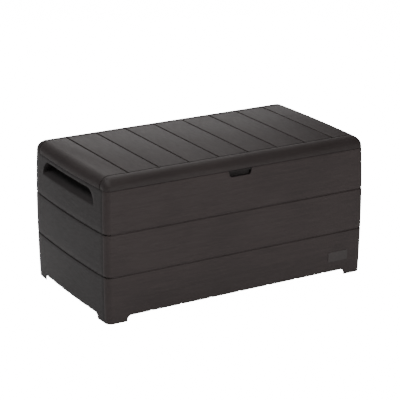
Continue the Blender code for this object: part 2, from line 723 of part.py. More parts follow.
# ---- gas struts -----------------------------------------------------------------------
def from_axis(forward, up):
    """A point given from the hinge axis, as (y, z)."""
    return (AXIS_Y - forward, SEAM + up)


def strut_frame(side):
    """The strut's own frame: Z from the wall ball to the lid ball, X across the box."""
    y0, z0 = from_axis(*WALL_BALL)
    y1, z1 = from_axis(*LID_BALL)
    run = Vector((0, y1 - y0, z1 - z0))
    up = run.normalized()
    across = Vector((1, 0, 0))
    place = Matrix.Identity(4)
    place.col[0][:3] = across
    place.col[1][:3] = up.cross(across)
    place.col[2][:3] = up
    place.translation = Vector((side * STRUT_FROM_CENTRE, y0, z0))
    return place, run.length


def crossways(place, height):
    """A frame on the strut's axis at that height, its Z along X."""
    return place @ Matrix.Translation((0, 0, height)) @ Matrix.Rotation(math.pi / 2, 4, "Y")


def gas_strut(side_name, side, resin, steel, polished):
    place, length = strut_frame(side)
    half = SOCKET_WIDTH / 2
    lower = turned(f"{side_name}_strut_lower_socket", [(SOCKET_RADIUS, -half), (SOCKET_RADIUS, half)], crossways(place, 0))
    neck_top = SOCKET_RADIUS + 0.010
    join(lower, turned("neck", [(0.0055, 0.002), (0.0055, neck_top)], place, 12))
    ball_room = BALL_RADIUS + BALL_GAP
    seat = [(ball_room, -half - 0.01), (ball_room, half + 0.01)]
    cut(lower, turned("seat", seat, crossways(place, 0), 24))
    finish(lower, resin)

    tube_low = neck_top + FIT_GAP
    tube_high = tube_low + TUBE_LENGTH
    guide = ROD_RADIUS + ROD_CLEARANCE
    tube = turned(f"{side_name}_strut_tube", [(TUBE_RADIUS, tube_low), (TUBE_RADIUS, tube_high)], place)
    bore = [(TUBE_BORE, tube_low + 0.004), (TUBE_BORE, tube_high - 0.006), (guide, tube_high - 0.006), (guide, tube_high + 0.01)]
    cut(tube, turned("bore", bore, place))
    finish(tube, steel)

    rod_low = tube_high - ROD_IN_TUBE
    rod_high = length - SOCKET_RADIUS - 0.010
    piston = TUBE_BORE - ROD_CLEARANCE
    profile = [(piston, rod_low), (piston, rod_low + 0.008)]
    profile += [(ROD_RADIUS, rod_low + 0.008), (ROD_RADIUS, rod_high)]
    finish(turned(f"{side_name}_strut_rod", profile, place), polished)

    upper = turned(f"{side_name}_strut_upper_socket", [(SOCKET_RADIUS, -half), (SOCKET_RADIUS, half)], crossways(place, length))
    join(upper, turned("neck", [(0.0055, rod_high + FIT_GAP), (0.0055, length - 0.002)], place, 12))
    finish(upper, resin)

    y0, z0 = from_axis(*WALL_BALL)
    face = side * (RIGHT - WALL - PANEL_GAP)
    shoulder = STRUT_FROM_CENTRE + half + 0.006
    x0, x1 = sorted((face, face - side * BRACKET_THICK))
    half_y, half_z = BRACKET_SIZE[0] / 2, BRACKET_SIZE[1] / 2
    bracket = boxes(f"{side_name}_strut_wall_bracket", [((x0, y0 - half_y, z0 - half_z), (x1, y0 + half_y, z0 + half_z))])
    slice_and_barrel(bracket, (), CURVE_PLACES)
    middle = barrel((face - side * BRACKET_THICK / 2, y0, z0))[0]
    out = abs(middle) - shoulder
    outward = Matrix.Translation((middle, y0, z0)) @ Matrix.Rotation(-side * math.pi / 2, 4, "Y")
    join(bracket, turned("boss", [(0.016, 0), (0.009, out)], outward))
    stud_room = 0.003 + FIT_GAP
    cut(bracket, turned("hole", [(stud_room, out - 0.012), (stud_room, out + 0.01)], outward, 12))
    finish(bracket, resin)
    finish(ball_stud(f"{side_name}_wall_ball_stud", side, STRUT_FROM_CENTRE, y0, z0, shoulder + 0.010), polished)

    y1, z1 = from_axis(*LID_BALL)
    ball_x = STRUT_FROM_CENTRE + half + FIT_GAP + BALL_RADIUS
    plate_x = ball_x + BALL_RADIUS + 0.003
    x0, x1 = sorted((side * plate_x, side * (plate_x + 0.003)))
    top = LINER_BOTTOM - FIT_GAP
    lid_bracket = boxes(f"{side_name}_strut_lid_bracket", [((x0, y1 - 0.013, z1 - 0.010), (x1, y1 + 0.013, top))])
    x2, x3 = sorted((side * (plate_x - 0.022), side * (plate_x + 0.002)))
    join(lid_bracket, boxes("foot", [((x2, y1 - 0.020, top - 0.003), (x3, y1 + 0.020, top))]))
    hole = Matrix.Translation((side * plate_x, y1, z1)) @ Matrix.Rotation(side * math.pi / 2, 4, "Y")
    cut(lid_bracket, turned("hole", [(stud_room, -0.01), (stud_room, 0.02)], hole, 12))
    finish(lid_bracket, steel)
    finish(ball_stud(f"{side_name}_lid_ball_stud", side, ball_x, y1, z1, plate_x + 0.005), polished)


def ball_stud(name, side, ball_x, y, z, tail_x):
    """A steel ball on a shank that runs outwards to tail_x."""
    place = Matrix.Translation((side * ball_x, y, z)) @ Matrix.Rotation(side * math.pi / 2, 4, "Y")
    profile = []
    for k in range(1, 8):
        angle = math.pi * k / 8
        if angle < 2.6:
            profile.append((BALL_RADIUS * math.sin(angle), -BALL_RADIUS * math.cos(angle)))
    profile += [(0.003, BALL_RADIUS * 0.86), (0.003, tail_x - ball_x)]
    return turned(name, profile, place, 24)


# ---- small pieces ---------------------------------------------------------------------
def lid_bumpers(look):
    """Rubber buttons that the shut lid's front edge rests on."""
    for name, side in (("left", -1), ("right", 1)):
        x = side * (NOTCH_WIDTH / 2 + 0.010)
        x, y, z = barrel((x, FRONT + (RIM_SETBACK + WALL) / 2, RIM_TOP))
        place = Matrix.Translation((x, y, z))
        height = LINER_BOTTOM - RIM_TOP - FIT_GAP
        finish(turned(f"{name}_lid_bumper", [(0.005, FIT_GAP), (0.004, height)], place, 12), look)


def blank_plate(look):
    """A plain plate on the lowest board."""
    (w, h), (x, z) = PLATE_SIZE, PLATE_CENTRE
    radius = 0.004
    outline = []
    for sx, sz, start in ((1, -1, 270), (1, 1, 0), (-1, 1, 90), (-1, -1, 180)):
        centre = (x + sx * (w / 2 - radius), z + sz * (h / 2 - radius))
        outline += arc(centre, (radius, radius), start, start + 90, 3)
    plate = prism("blank_plate", outline, "Y", FRONT - FIT_GAP - PLATE_THICK, FRONT - FIT_GAP)
    return finish(slice_and_barrel(plate, (z - h / 6, z + h / 6)), look)


def main():
    clear_scene()
    wall_resin = material("dark_wood_grain_resin", (0.046, 0.037, 0.036), 0.55)
    lid_resin = material("lid_resin", (0.050, 0.041, 0.040), 0.5)
    inner_resin = material("inner_resin", (0.030, 0.026, 0.026), 0.6)
    hinge_resin = material("hinge_nylon", (0.018, 0.017, 0.017), 0.45)
    rubber = material("bumper_rubber", (0.012, 0.012, 0.012), 0.8)
    painted = material("strut_black_steel", (0.015, 0.015, 0.016), 0.35, 0.6)
    bright = material("bright_steel", (0.60, 0.60, 0.58), 0.25, 1.0)

    front_panel(wall_resin)
    rear_panel(wall_resin)
    end_panel("left_end_panel", -1, wall_resin)
    end_panel("right_end_panel", 1, wall_resin)
    for name, side, end in (
        ("front_left_corner_post", -1, -1),
        ("front_right_corner_post", 1, -1),
        ("rear_left_corner_post", -1, 1),
        ("rear_right_corner_post", 1, 1),
    ):
        corner_post(name, side, end, inner_resin)
    floor_panel(inner_resin)
    floor_feet(inner_resin)
    lid_top(lid_resin)
    lid_liner(inner_resin)
    for name, x in zip(("left", "centre", "right"), HINGE_PLACES):
        hinge(name, x, hinge_resin, bright, bright)
    gas_strut("left", -1, hinge_resin, painted, bright)
    gas_strut("right", 1, hinge_resin, painted, bright)
    lid_bumpers(rubber)
    blank_plate(wall_resin)


main()
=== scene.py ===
import math

import bmesh
import bpy
from mathutils import Matrix, Vector


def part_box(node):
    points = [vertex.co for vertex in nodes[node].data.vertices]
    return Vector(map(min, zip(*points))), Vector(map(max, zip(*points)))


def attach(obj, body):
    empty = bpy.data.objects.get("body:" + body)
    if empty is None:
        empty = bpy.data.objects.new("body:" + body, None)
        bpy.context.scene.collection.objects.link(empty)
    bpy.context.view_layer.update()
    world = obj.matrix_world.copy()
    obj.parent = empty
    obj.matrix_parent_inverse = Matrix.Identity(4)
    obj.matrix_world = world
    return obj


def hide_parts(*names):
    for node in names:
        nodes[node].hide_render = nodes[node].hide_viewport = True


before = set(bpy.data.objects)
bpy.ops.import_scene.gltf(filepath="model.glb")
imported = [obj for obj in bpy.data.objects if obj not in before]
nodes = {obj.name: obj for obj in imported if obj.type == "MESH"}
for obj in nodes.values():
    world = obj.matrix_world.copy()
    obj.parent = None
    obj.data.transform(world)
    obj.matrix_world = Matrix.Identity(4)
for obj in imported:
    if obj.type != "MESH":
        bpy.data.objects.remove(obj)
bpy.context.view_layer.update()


# ---- The ground and the studio ----------------------------------------------------------
# The box stands on a white seamless floor: lamps overhead and behind for the sheen of the top,
# a low one in front for the boards, and two high ones for the rolled edges.
def new_material(name):
    made = bpy.data.materials.new(name)
    made.use_nodes = True
    return made, made.node_tree.nodes, made.node_tree.links


pale_floor, floor_nodes, floor_links = new_material("pale_floor")
floor_shader = floor_nodes["Principled BSDF"]
floor_shader.inputs["Base Color"].default_value = (0.86, 0.86, 0.86, 1)
floor_shader.inputs["Roughness"].default_value = 0.9
floor_shader.inputs["Emission Color"].default_value = (1, 1, 1, 1)
seen = floor_nodes.new("ShaderNodeLightPath")
floor_glow = floor_nodes.new("ShaderNodeMapRange")
floor_glow.inputs["To Min"].default_value = 0.32
floor_glow.inputs["To Max"].default_value = 16.0
floor_links.new(seen.outputs["Is Camera Ray"], floor_glow.inputs["Value"])
floor_links.new(floor_glow.outputs["Result"], floor_shader.inputs["Emission Strength"])

floor_shape = bmesh.new()
bmesh.ops.create_grid(floor_shape, x_segments=4, y_segments=4, size=30)
floor_mesh = bpy.data.meshes.new("floor")
floor_shape.to_mesh(floor_mesh)
floor_shape.free()
floor_mesh.materials.append(pale_floor)
floor = bpy.data.objects.new("floor", floor_mesh)
floor.location.z = -0.0005
bpy.context.scene.collection.objects.link(floor)

studio = bpy.data.worlds.new("studio")
studio.use_nodes = True
bpy.context.scene.world = studio
surround = studio.node_tree.nodes["Background"]
surround.inputs["Color"].default_value = (1, 1, 1, 1)
surround.inputs["Strength"].default_value = 0.10

for lamp_name, spot, width, power, tint in (
    ("overhead", (0.6, 1.4, 3.4), 2.4, 46, (1, 0.98, 0.97)),
    ("backdrop", (1.6, 4.6, 1.7), 3.6, 50, (1, 0.99, 0.98)),
    ("low_front", (0.9, -5.3, 0.2), 2.4, 128, (1, 0.95, 0.93)),
    ("high_front", (-1.6, -3.0, 4.8), 2.0, 130, (1, 0.98, 0.97)),
    ("high_left", (-2.5, 0.9, 4.4), 1.6, 84, (1, 1, 1)),
):
    lamp_data = bpy.data.lights.new(lamp_name, "AREA")
    lamp_data.shape = "SQUARE"
    lamp_data.size = width
    lamp_data.energy = power
    lamp_data.color = tint
    lamp = bpy.data.objects.new(lamp_name, lamp_data)
    lamp.location = spot
    lamp.rotation_euler = (Vector((0, 0, 0.4)) - Vector(spot)).to_track_quat("-Z", "Y").to_euler()
    bpy.context.scene.collection.objects.link(lamp)

camera_data = bpy.data.cameras.new("camera")
camera_data.lens = 144.6
camera_data.sensor_width = 36
camera_data.clip_end = 100
camera = bpy.data.objects.new("camera", camera_data)
camera.location = (-3.400, -5.910, 2.644)
camera.rotation_euler = (math.radians(71.355), 0, math.radians(-29.94))
bpy.context.scene.collection.objects.link(camera)
bpy.context.scene.camera = camera


# ---- Front and rear wall panels -----------------------------------------------------------
# Each is one ribbed resin moulding that looks like three boards and turns round both corners.
# Its top edge steps in to a rim for the lid. The front has a finger recess for lifting the lid,
# its inside painted near-black as painted shade, and the rear has gaps where the hinges are
# screwed on.
WIDTH, DEPTH, HEIGHT = 1.290, 0.706, 0.636
SHOULDER, RIM_TOP = 0.584, 0.606  # where the walls step in, and where they end under the lid
SKIN, RIB, WALL = 0.004, 0.004, 0.022
CORNER, RETURN = 0.026, 0.030  # a corner's curve, and how far a long wall turns round it
FOOT_WIDTH, FOOT_HEIGHT, FOOT_CURVE = 0.095, 0.026, 0.020
FOOT_STEP = 0.0027  # the small steps up in the bottom edge
BOARD, BOARD_JOINTS = 0.1875, (0.210, 0.3975)
PLANK, CROSS_BOARD = 0.1455, 0.053  # the lid's planks, and its front and rear boards
BOW = 0.012  # how far the ends swell at mid-depth
LEAN_TOP, LEAN_FOOT = 0.008, 0.0045  # how far the walls lean in at the top and the foot
BANDS = ((0.034, 0.048), (0.202, 0.218), (0.3895, 0.4055), (0.576, 0.5828))
RIB_LOW, RIB_HIGH = 0.035, 0.5825
SHELF_LOW, SHELF_HIGH, SHELF_REACH = 0.034, 0.042, 0.012
BEHIND_SKIN = 0.0033  # ribs start just inside the skin's inner face
lid_low, lid_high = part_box("lid_top")
MIDDLE = (lid_low.y + lid_high.y) / 2
FRONT, REAR = MIDDLE - DEPTH / 2, MIDDLE + DEPTH / 2
RIGHT = WIDTH / 2
half_joint = ((0.0027, 0.0070), (0.0029, 0.0030), (0.0034, 0.0012), (0.0042, 0.0003), (0.0052, 0))
JOINT_SECTION = tuple((-out, inward) for out, inward in half_joint[::-1]) + half_joint


def resin(name, dark, light, along, board, pitch=BOARD, start=BOARD_JOINTS[0] - BOARD,
          roughness=0.58, cross=None):
    """Dark resin with an embossed wood grain along X or Y, its own on each board. Cross is
    the middle of the lid, where the front and rear boards have their grain turned."""
    made, parts, links = new_material(name)
    shader = parts["Principled BSDF"]
    place = parts.new("ShaderNodeTexCoord")
    split = parts.new("ShaderNodeSeparateXYZ")
    links.new(place.outputs["Object"], split.inputs[0])

    def worked(operation, source, number=None):
        step = parts.new("ShaderNodeMath")
        step.operation = operation
        links.new(source, step.inputs[0])
        if number is not None:
            step.inputs[1].default_value = number
        return step.outputs[0]

    from_start = worked("SUBTRACT", split.outputs[board], start)
    board_number = worked("FLOOR", worked("DIVIDE", from_start, pitch))
    shift = worked("MULTIPLY", board_number, 3.71)
    moved = parts.new("ShaderNodeCombineXYZ")
    for socket in moved.inputs:
        links.new(shift, socket)
    own = parts.new("ShaderNodeVectorMath")
    own.operation = "ADD"
    links.new(place.outputs["Object"], own.inputs[0])
    links.new(moved.outputs[0], own.inputs[1])
    laid = own.outputs[0]
    if cross is not None:
        around = parts.new("ShaderNodeVectorRotate")
        around.rotation_type = "Z_AXIS"
        around.inputs["Angle"].default_value = math.pi / 2
        links.new(place.outputs["Object"], around.inputs["Vector"])
        distance_out = worked("ABSOLUTE", worked("SUBTRACT", split.outputs["Y"], cross))
        chosen = parts.new("ShaderNodeMix")
        chosen.data_type = "VECTOR"
        on_cross_board = worked("GREATER_THAN", distance_out, DEPTH / 2 - CROSS_BOARD)
        links.new(on_cross_board, chosen.inputs["Factor"])
        links.new(own.outputs[0], chosen.inputs["A"])
        links.new(around.outputs[0], chosen.inputs["B"])
        laid = chosen.outputs["Result"]

    def stretched(scale):
        fit = parts.new("ShaderNodeMapping")
        fit.inputs["Scale"].default_value = scale
        links.new(laid, fit.inputs["Vector"])
        return fit

    def noise(source, scale, detail, rough, twist=0.0):
        made_noise = parts.new("ShaderNodeTexNoise")
        made_noise.inputs["Scale"].default_value = scale
        made_noise.inputs["Detail"].default_value = detail
        made_noise.inputs["Roughness"].default_value = rough
        made_noise.inputs["Distortion"].default_value = twist
        links.new(source, made_noise.inputs["Vector"])
        return made_noise

    long_way = (1, 14, 14) if along == "X" else (14, 1, 14)
    hair_way = (1, 34, 34) if along == "X" else (34, 1, 34)
    figure = noise(stretched(long_way).outputs[0], 5.5, 6, 0.62, 1.1)
    hairs = noise(stretched(hair_way).outputs[0], 24, 4, 0.6)
    speck = noise(place.outputs["Object"], 780, 2, 0.5)
    cloudy = noise(place.outputs["Object"], 3.2, 3, 0.5)

    tone = parts.new("ShaderNodeValToRGB")
    tone.color_ramp.elements[0].position = 0.30
    tone.color_ramp.elements[0].color = (*dark, 1)
    tone.color_ramp.elements[1].position = 0.72
    tone.color_ramp.elements[1].color = (*light, 1)
    blended = parts.new("ShaderNodeMix")
    blended.data_type = "FLOAT"
    blended.inputs["Factor"].default_value = 0.45
    links.new(figure.outputs["Fac"], blended.inputs["A"])
    links.new(cloudy.outputs["Fac"], blended.inputs["B"])
    links.new(blended.outputs["Result"], tone.inputs["Fac"])
    links.new(tone.outputs["Color"], shader.inputs["Base Color"])

    dull = parts.new("ShaderNodeMapRange")
    dull.inputs["From Min"].default_value = 0.3
    dull.inputs["From Max"].default_value = 0.7
    dull.inputs["To Min"].default_value = roughness - 0.07
    dull.inputs["To Max"].default_value = roughness + 0.10
    links.new(hairs.outputs["Fac"], dull.inputs["Value"])
    links.new(dull.outputs["Result"], shader.inputs["Roughness"])

    bump = None
    reliefs = ((figure, 0.60, 0.0011), (hairs, 0.48, 0.0004), (speck, 0.30, 0.00012))
    for height, strength, distance in reliefs:
        layer = parts.new("ShaderNodeBump")
        layer.inputs["Strength"].default_value = strength
        layer.inputs["Distance"].default_value = distance
        links.new(height.outputs["Fac"], layer.inputs["Height"])
        if bump:
            links.new(bump.outputs["Normal"], layer.inputs["Normal"])
        bump = layer
    links.new(bump.outputs["Normal"], shader.inputs["Normal"])
    shader.inputs["Specular IOR Level"].default_value = 0.27
    return made


def lean(z):
    """How far the walls lean in at a height, from nothing half-way up."""
    t = (z - HEIGHT / 2) / (HEIGHT / 2)
    return (LEAN_TOP if t > 0 else LEAN_FOOT) * t * t


def bulge(shape):
    """The chest's gentle barrel shape, given to a piece that was drawn square."""
    for vertex in shape.verts:
        x, y, z = vertex.co
        u = (y - MIDDLE) / (DEPTH / 2)
        bow = BOW * (1 - u * u)
        x += math.copysign(1, x) * (bow - lean(z)) * abs(x / RIGHT) ** 6
        vertex.co = (x, MIDDLE + (y - MIDDLE) * (1 - lean(z) / (DEPTH / 2)), z)
    return shape


def arc(centre, radii, start, end, steps):
    """Points along an ellipse's edge, between two angles in degrees."""
    turn = [math.radians(start + (end - start) * i / steps) for i in range(steps + 1)]
    return [(centre[0] + radii[0] * math.cos(a), centre[1] + radii[1] * math.sin(a)) for a in turn]


def moulded(name, shape, thickness=0):
    """A bmesh made an object, its open sheets given an inward thickness."""
    mesh = bpy.data.meshes.new(name)
    shape.to_mesh(mesh)
    shape.free()
    made = bpy.data.objects.new(name, mesh)
    bpy.context.scene.collection.objects.link(made)
    if thickness:
        shell = made.modifiers.new("thickness", "SOLIDIFY")
        shell.thickness = thickness
        shell.offset = -1
        shell.use_even_offset = True
        settle(made)
    return made


def settle(piece):
    """Its modifiers made part of its mesh."""
    graph = bpy.context.evaluated_depsgraph_get()
    mesh = bpy.data.meshes.new_from_object(piece.evaluated_get(graph))
    piece.modifiers.clear()
    old, piece.data = piece.data, mesh
    mesh.name = piece.name
    bpy.data.meshes.remove(old)
    return piece


def work(piece, tool, operation, solver="EXACT"):
    """Joins a block on, or cuts a hollow out."""
    step = piece.modifiers.new(operation.lower(), "BOOLEAN")
    step.operation = operation
    step.solver = solver
    step.object = tool
    settle(piece)
    bpy.data.objects.remove(tool, do_unlink=True)
    return piece


def curved_sheet(columns, rows):
    """A sheet over plan points (x, y, outward x, outward y) and rows (height, how far in)."""
    shape = bmesh.new()
    across, up = len(columns) - 1, len(rows) - 1
    bmesh.ops.create_grid(shape, x_segments=across, y_segments=up, size=0.5)
    for vertex in shape.verts:
        x, y, out_x, out_y = columns[round((vertex.co.x + 0.5) * across)]
        height, inward = rows[round((vertex.co.y + 0.5) * up)]
        vertex.co = (x - out_x * inward, y - out_y * inward, height)
    return shape


def block(shape, low, high, cuts=0):
    """A box in a bmesh, cut up finely enough to be bent."""
    low, high = Vector(low), Vector(high)
    place = Matrix.Translation((low + high) / 2) @ Matrix.Diagonal((*(high - low), 1))
    made = bmesh.ops.create_cube(shape, size=1, matrix=place)["verts"]
    for axis in range(3):
        size = (high - low)[axis]
        pieces = int(size / cuts) if cuts else 0
        for k in range(1, pieces):
            faces = {f for v in made if v.is_valid for f in v.link_faces}
            edges = {e for f in faces for e in f.edges}
            spot = Vector((0, 0, 0))
            spot[axis] = low[axis] + size * k / pieces
            normal = Vector((0, 0, 0))
            normal[axis] = 1
            geometry = list({v for f in faces for v in f.verts}) + list(edges) + list(faces)
            cut = bmesh.ops.bisect_plane(
                shape, geom=geometry, plane_co=spot, plane_no=normal, dist=1e-6)
            made = [g for g in cut["geom"] if isinstance(g, bmesh.types.BMVert)]
    return shape


def drawn(rings):
    """A closed solid: its first outline's face, drawn out through each outline after it."""
    shape = bmesh.new()
    face = shape.faces.new([shape.verts.new(point) for point in rings[0]])
    ring = list(face.verts)
    for number, points in enumerate(rings[1:]):
        order = {vertex.co.to_tuple(): i for i, vertex in enumerate(ring)}
        old = face
        grown = bmesh.ops.extrude_face_region(shape, geom=[old])["geom"]
        face = next(item for item in grown if isinstance(item, bmesh.types.BMFace))
        if number and old.is_valid:
            bmesh.ops.delete(shape, geom=[old], context="FACES_ONLY")
        ring = sorted(face.verts, key=lambda vertex: order[vertex.co.to_tuple()])
        for vertex, point in zip(ring, points):
            vertex.co = point
    bmesh.ops.recalc_face_normals(shape, faces=shape.faces)
    return shape


def slab(outline, along, low, high, steps=1):
    """An outline in the other two axes, drawn along one axis in even steps."""
    spread = {
        "X": lambda a, b, at: (at, a, b),
        "Y": lambda a, b, at: (a, at, b),
        "Z": lambda a, b, at: (a, b, at),
    }[along]
    places = [low + (high - low) * k / steps for k in range(steps + 1)]
    return drawn([[spread(a, b, at) for a, b in outline] for at in places])


def dress(piece, look, body, slot, *replaced, soften=0.0008):
    """Rounds its sharp edges, and gives it its finish and its place on the box."""
    if soften:
        round_off = piece.modifiers.new("rounded_edges", "BEVEL")
        round_off.width = soften
        round_off.segments = 2
        round_off.limit_method = "ANGLE"
        round_off.angle_limit = math.radians(38)
        round_off.use_clamp_overlap = True
        settle(piece)
    piece.data.materials.clear()
    piece.data.materials.append(look)
    piece.data.shade_smooth()
    piece.data.set_sharp_from_angle(angle=math.radians(35))
    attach(piece, body)
    if replaced:
        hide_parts(*replaced)
    return piece


wall_rows = [(z, 0) for z in (0.0, 0.008, 0.016, 0.024, 0.045, 0.08, 0.12, 0.16, 0.19)]
rows_above = ((0.235, 0.27, 0.31, 0.35, 0.38), (0.425, 0.46, 0.49, 0.52, 0.55, 0.572))
for joint, next_rows in zip(BOARD_JOINTS, rows_above):
    wall_rows += [(joint + dz, inward) for dz, inward in JOINT_SECTION]
    wall_rows += [(z, 0) for z in next_rows]
shoulder_rows = [(0.5820, 0), (0.5834, 0.0006), (SHOULDER, 0.002), (SHOULDER, 0.0083)]
shoulder_rows += [(0.5846, 0.009), (0.594, 0.009), (0.6045, 0.009), (0.6057, 0.0095)]
shoulder_rows.append((RIM_TOP, 0.0105))


def long_wall_path():
    """A long wall in plan with its outward directions: one corner, the straight, the other."""
    path = [(-RIGHT, RETURN, -1, 0)]
    for x, y in arc((0, 0), (1, 1), 180, 270, 9):
        path.append((-RIGHT + CORNER + CORNER * x, CORNER + CORNER * y, x, y))
    count = 34
    run = 2 * (RIGHT - CORNER)
    path += [(-RIGHT + CORNER + run * k / count, 0, 0, -1) for k in range(1, count)]
    for x, y in arc((0, 0), (1, 1), 270, 360, 9):
        path.append((RIGHT - CORNER + CORNER * x, CORNER + CORNER * y, x, y))
    return path + [(RIGHT, RETURN, 1, 0)]


def even(low, high, count):
    """Equal bays with a rib's thickness between them."""
    pitch = (high - low + RIB) / count
    return [(low + i * pitch, low + (i + 1) * pitch - RIB) for i in range(count)]


def foot_gap(middle, half, pitch, each_side):
    """The outline of the gap between two feet, with small steps up in its top edge."""
    rise, curve = FOOT_HEIGHT - FOOT_CURVE, (FOOT_CURVE, FOOT_CURVE)
    left, right = middle - half, middle + half
    outline = [(left, -0.01), *arc((left + FOOT_CURVE, rise), curve, 180, 90, 8)]
    for k in range(-each_side, each_side + 1):
        for offset, up in ((-0.006, 0), (-0.005, FOOT_STEP), (0.005, FOOT_STEP), (0.006, 0)):
            outline.append((middle + k * pitch + offset, FOOT_HEIGHT + up))
    return [*outline, *arc((right - FOOT_CURVE, rise), curve, 90, 0, 8), (right, -0.01)]


def long_wall(name, rear):
    sign = -1 if rear else 1
    face_y = REAR if rear else FRONT
    columns = [(sign * x, face_y + sign * y, sign * a, sign * b) for x, y, a, b in long_wall_path()]
    wall = moulded(name, bulge(curved_sheet(columns, wall_rows + shoulder_rows)), SKIN)
    arch = foot_gap(0, RIGHT - FOOT_WIDTH, PLANK, 3)
    low, high = sorted((face_y - sign * 0.02, face_y + sign * 0.045))
    work(wall, moulded("foot_gap", slab(arch, "Y", low, high)), "DIFFERENCE")
    return wall


def stiffeners(name, rear):
    """Ribs and bands behind a long wall, and the shelf that the floor rests on."""
    shape = bmesh.new()
    sign = -1 if rear else 1
    face_y = REAR if rear else FRONT
    bays = even(-RIGHT + RETURN, RIGHT - RETURN, 11)

    def span(near, far):
        return sorted((face_y + sign * near, face_y + sign * far))

    near, far = span(BEHIND_SKIN, WALL)
    for a, b in zip(bays, bays[1:]):
        block(shape, (a[1], near, RIB_LOW), (b[0], far, RIB_HIGH), 0.04)
    for low, high in BANDS:
        block(shape, (-RIGHT + 0.024, near, low), (RIGHT - 0.024, far, high))
    near, far = span(WALL - RIB, WALL + SHELF_REACH)
    shelf_end = RIGHT - 0.0227
    block(shape, (-shelf_end, near, SHELF_LOW), (shelf_end, far, SHELF_HIGH))
    return moulded(name, bulge(shape))


def add_to(piece, *others):
    """Joins separate mouldings into one piece, as islands of one mesh."""
    shape = bmesh.new()
    for part in (piece, *others):
        shape.from_mesh(part.data)
    for part in others:
        bpy.data.objects.remove(part, do_unlink=True)
    shape.to_mesh(piece.data)
    shape.free()
    return piece


board_resin = resin("board_resin", (0.0235, 0.0176, 0.0174), (0.0395, 0.0308, 0.0304), "X", "Z")

front_wall = long_wall("front_wall", False)
half, back = 0.078, FRONT + WALL + 0.004
recess_pocket = moulded("recess_pocket", block(
    bmesh.new(), (-half, FRONT + 0.0078, 0.534), (half, back, 0.5830)))
recess_rim = moulded("recess_rim", block(
    bmesh.new(), (-half, FRONT + 0.0152, 0.5826), (half, back - 0.0002, 0.6050)))
bend = (0.0111, 0.0111)
recess = [(-0.0583, 0.6207), (-0.0581, 0.5851), *arc((-0.0422, 0.5664), bend, 180, 270, 6)]
recess += [*arc((0.0422, 0.5664), bend, 270, 360, 6), (0.0581, 0.5851), (0.0583, 0.6207)]
for piece in (front_wall, recess_pocket, recess_rim):
    hollow = moulded("recess", slab(recess, "Y", FRONT - 0.0203, FRONT + 0.0192))
    work(piece, hollow, "DIFFERENCE", "FAST")
add_to(front_wall, recess_pocket, recess_rim, stiffeners("front_ribs", False))
dress(front_wall, board_resin, "box", "wall_resin", "front_panel")
# Painted shade: the recess's inside gets a near-black copy of the board resin, far darker than the
# resin is.
recess_painted_shade = resin("recess_painted_shade", (0.0050, 0.0038, 0.0038), (0.0080, 0.0062, 0.0060), "X", "Z")
front_wall.data.materials.append(recess_painted_shade)
# The faces inside the finger recess take this painted shade.
for face in front_wall.data.polygons:
    spot = face.center
    behind_face = FRONT + 0.0080 < spot.y < FRONT + 0.0200
    if abs(spot.x) < 0.0592 and behind_face and 0.5540 < spot.z < 0.6040:
        face.material_index = 1

rear_wall = long_wall("rear_wall", True)
hinge_boxes = [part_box(f"{side}_hinge_wall_half") for side in ("left", "centre", "right")]
hinge_spots = [sum(corner.x for corner in box) / 2 for box in hinge_boxes]
hinge_half = 0.039
hinge_bosses = bmesh.new()
hinge_gaps = bmesh.new()
for x in hinge_spots:
    left, right = x - hinge_half, x + hinge_half
    block(hinge_bosses, (left, REAR - 0.0275, 0.530), (right, REAR - 0.0078, 0.5803))
    block(hinge_gaps, (left, REAR - 0.05, SHOULDER + 0.0003), (right, REAR + 0.01, 0.62))
work(rear_wall, moulded("hinge_gaps", hinge_gaps), "DIFFERENCE")
add_to(rear_wall, stiffeners("rear_ribs", True), moulded("hinge_bosses", hinge_bosses))
dress(rear_wall, board_resin, "box", "wall_resin", "rear_panel")


# ---- End wall panels ------------------------------------------------------------------------
# The two ends are the same resin moulding, slid between the long walls' corners. Each has a
# long hand hold: a scoop with a sharp upper edge and a soft lower lip, closed behind.
end_resin = resin("end_resin", (0.0126, 0.0103, 0.0105), (0.0212, 0.0179, 0.0181), "Y", "Z")
HOLD_TOP, HOLD_TALL, HOLD_LONG, HOLD_DEEP = 0.5676, 0.0686, 0.498, 0.042
HOLD_CURVE = 0.057  # how far in from each end the hold's corner starts


def hold_shape(name, side, extra, start):
    """The hand hold's hollow, or with extra the housing that closes it behind."""
    low = HOLD_TOP - HOLD_TALL
    swept = HOLD_TALL - 0.022
    deep = HOLD_DEEP + extra
    section = []
    for i in range(21):
        share = i / 20
        section.append((deep * (1 - math.cos(math.pi * share)) / 2, low + swept * share - extra))
    for back, down in ((0, 0.007), (0.0018, 0.0018), (0.006, 0)):
        section.append((deep - back, HOLD_TOP - down + extra))
    section = [p for p in section if p[0] > start + 0.0004]
    section = [(start, section[0][1]), *section, (start, section[-1][1])]
    profile = [(side * (RIGHT - inward), z) for inward, z in section]
    solid = slab(profile, "Y", MIDDLE - 0.275, MIDDLE + 0.275, 24)
    half = HOLD_LONG / 2
    radii = (HOLD_CURVE + extra, HOLD_TALL + extra)
    outline = [*arc((MIDDLE + half - HOLD_CURVE, low), radii, 0, 90, 14)]
    outline += [*arc((MIDDLE - half + HOLD_CURVE, low), radii, 90, 180, 14)]
    outline += [(MIDDLE - half - extra, low - 0.012), (MIDDLE + half + extra, low - 0.012)]
    reach = sorted((side * (RIGHT + 0.02), side * (RIGHT - 0.09)))
    ends = moulded("hold_ends", slab(outline, "X", reach[0], reach[1]))
    made = work(moulded(name, solid), ends, "INTERSECT")
    shape = bmesh.new()
    shape.from_mesh(made.data)
    bulge(shape).to_mesh(made.data)
    shape.free()
    return made


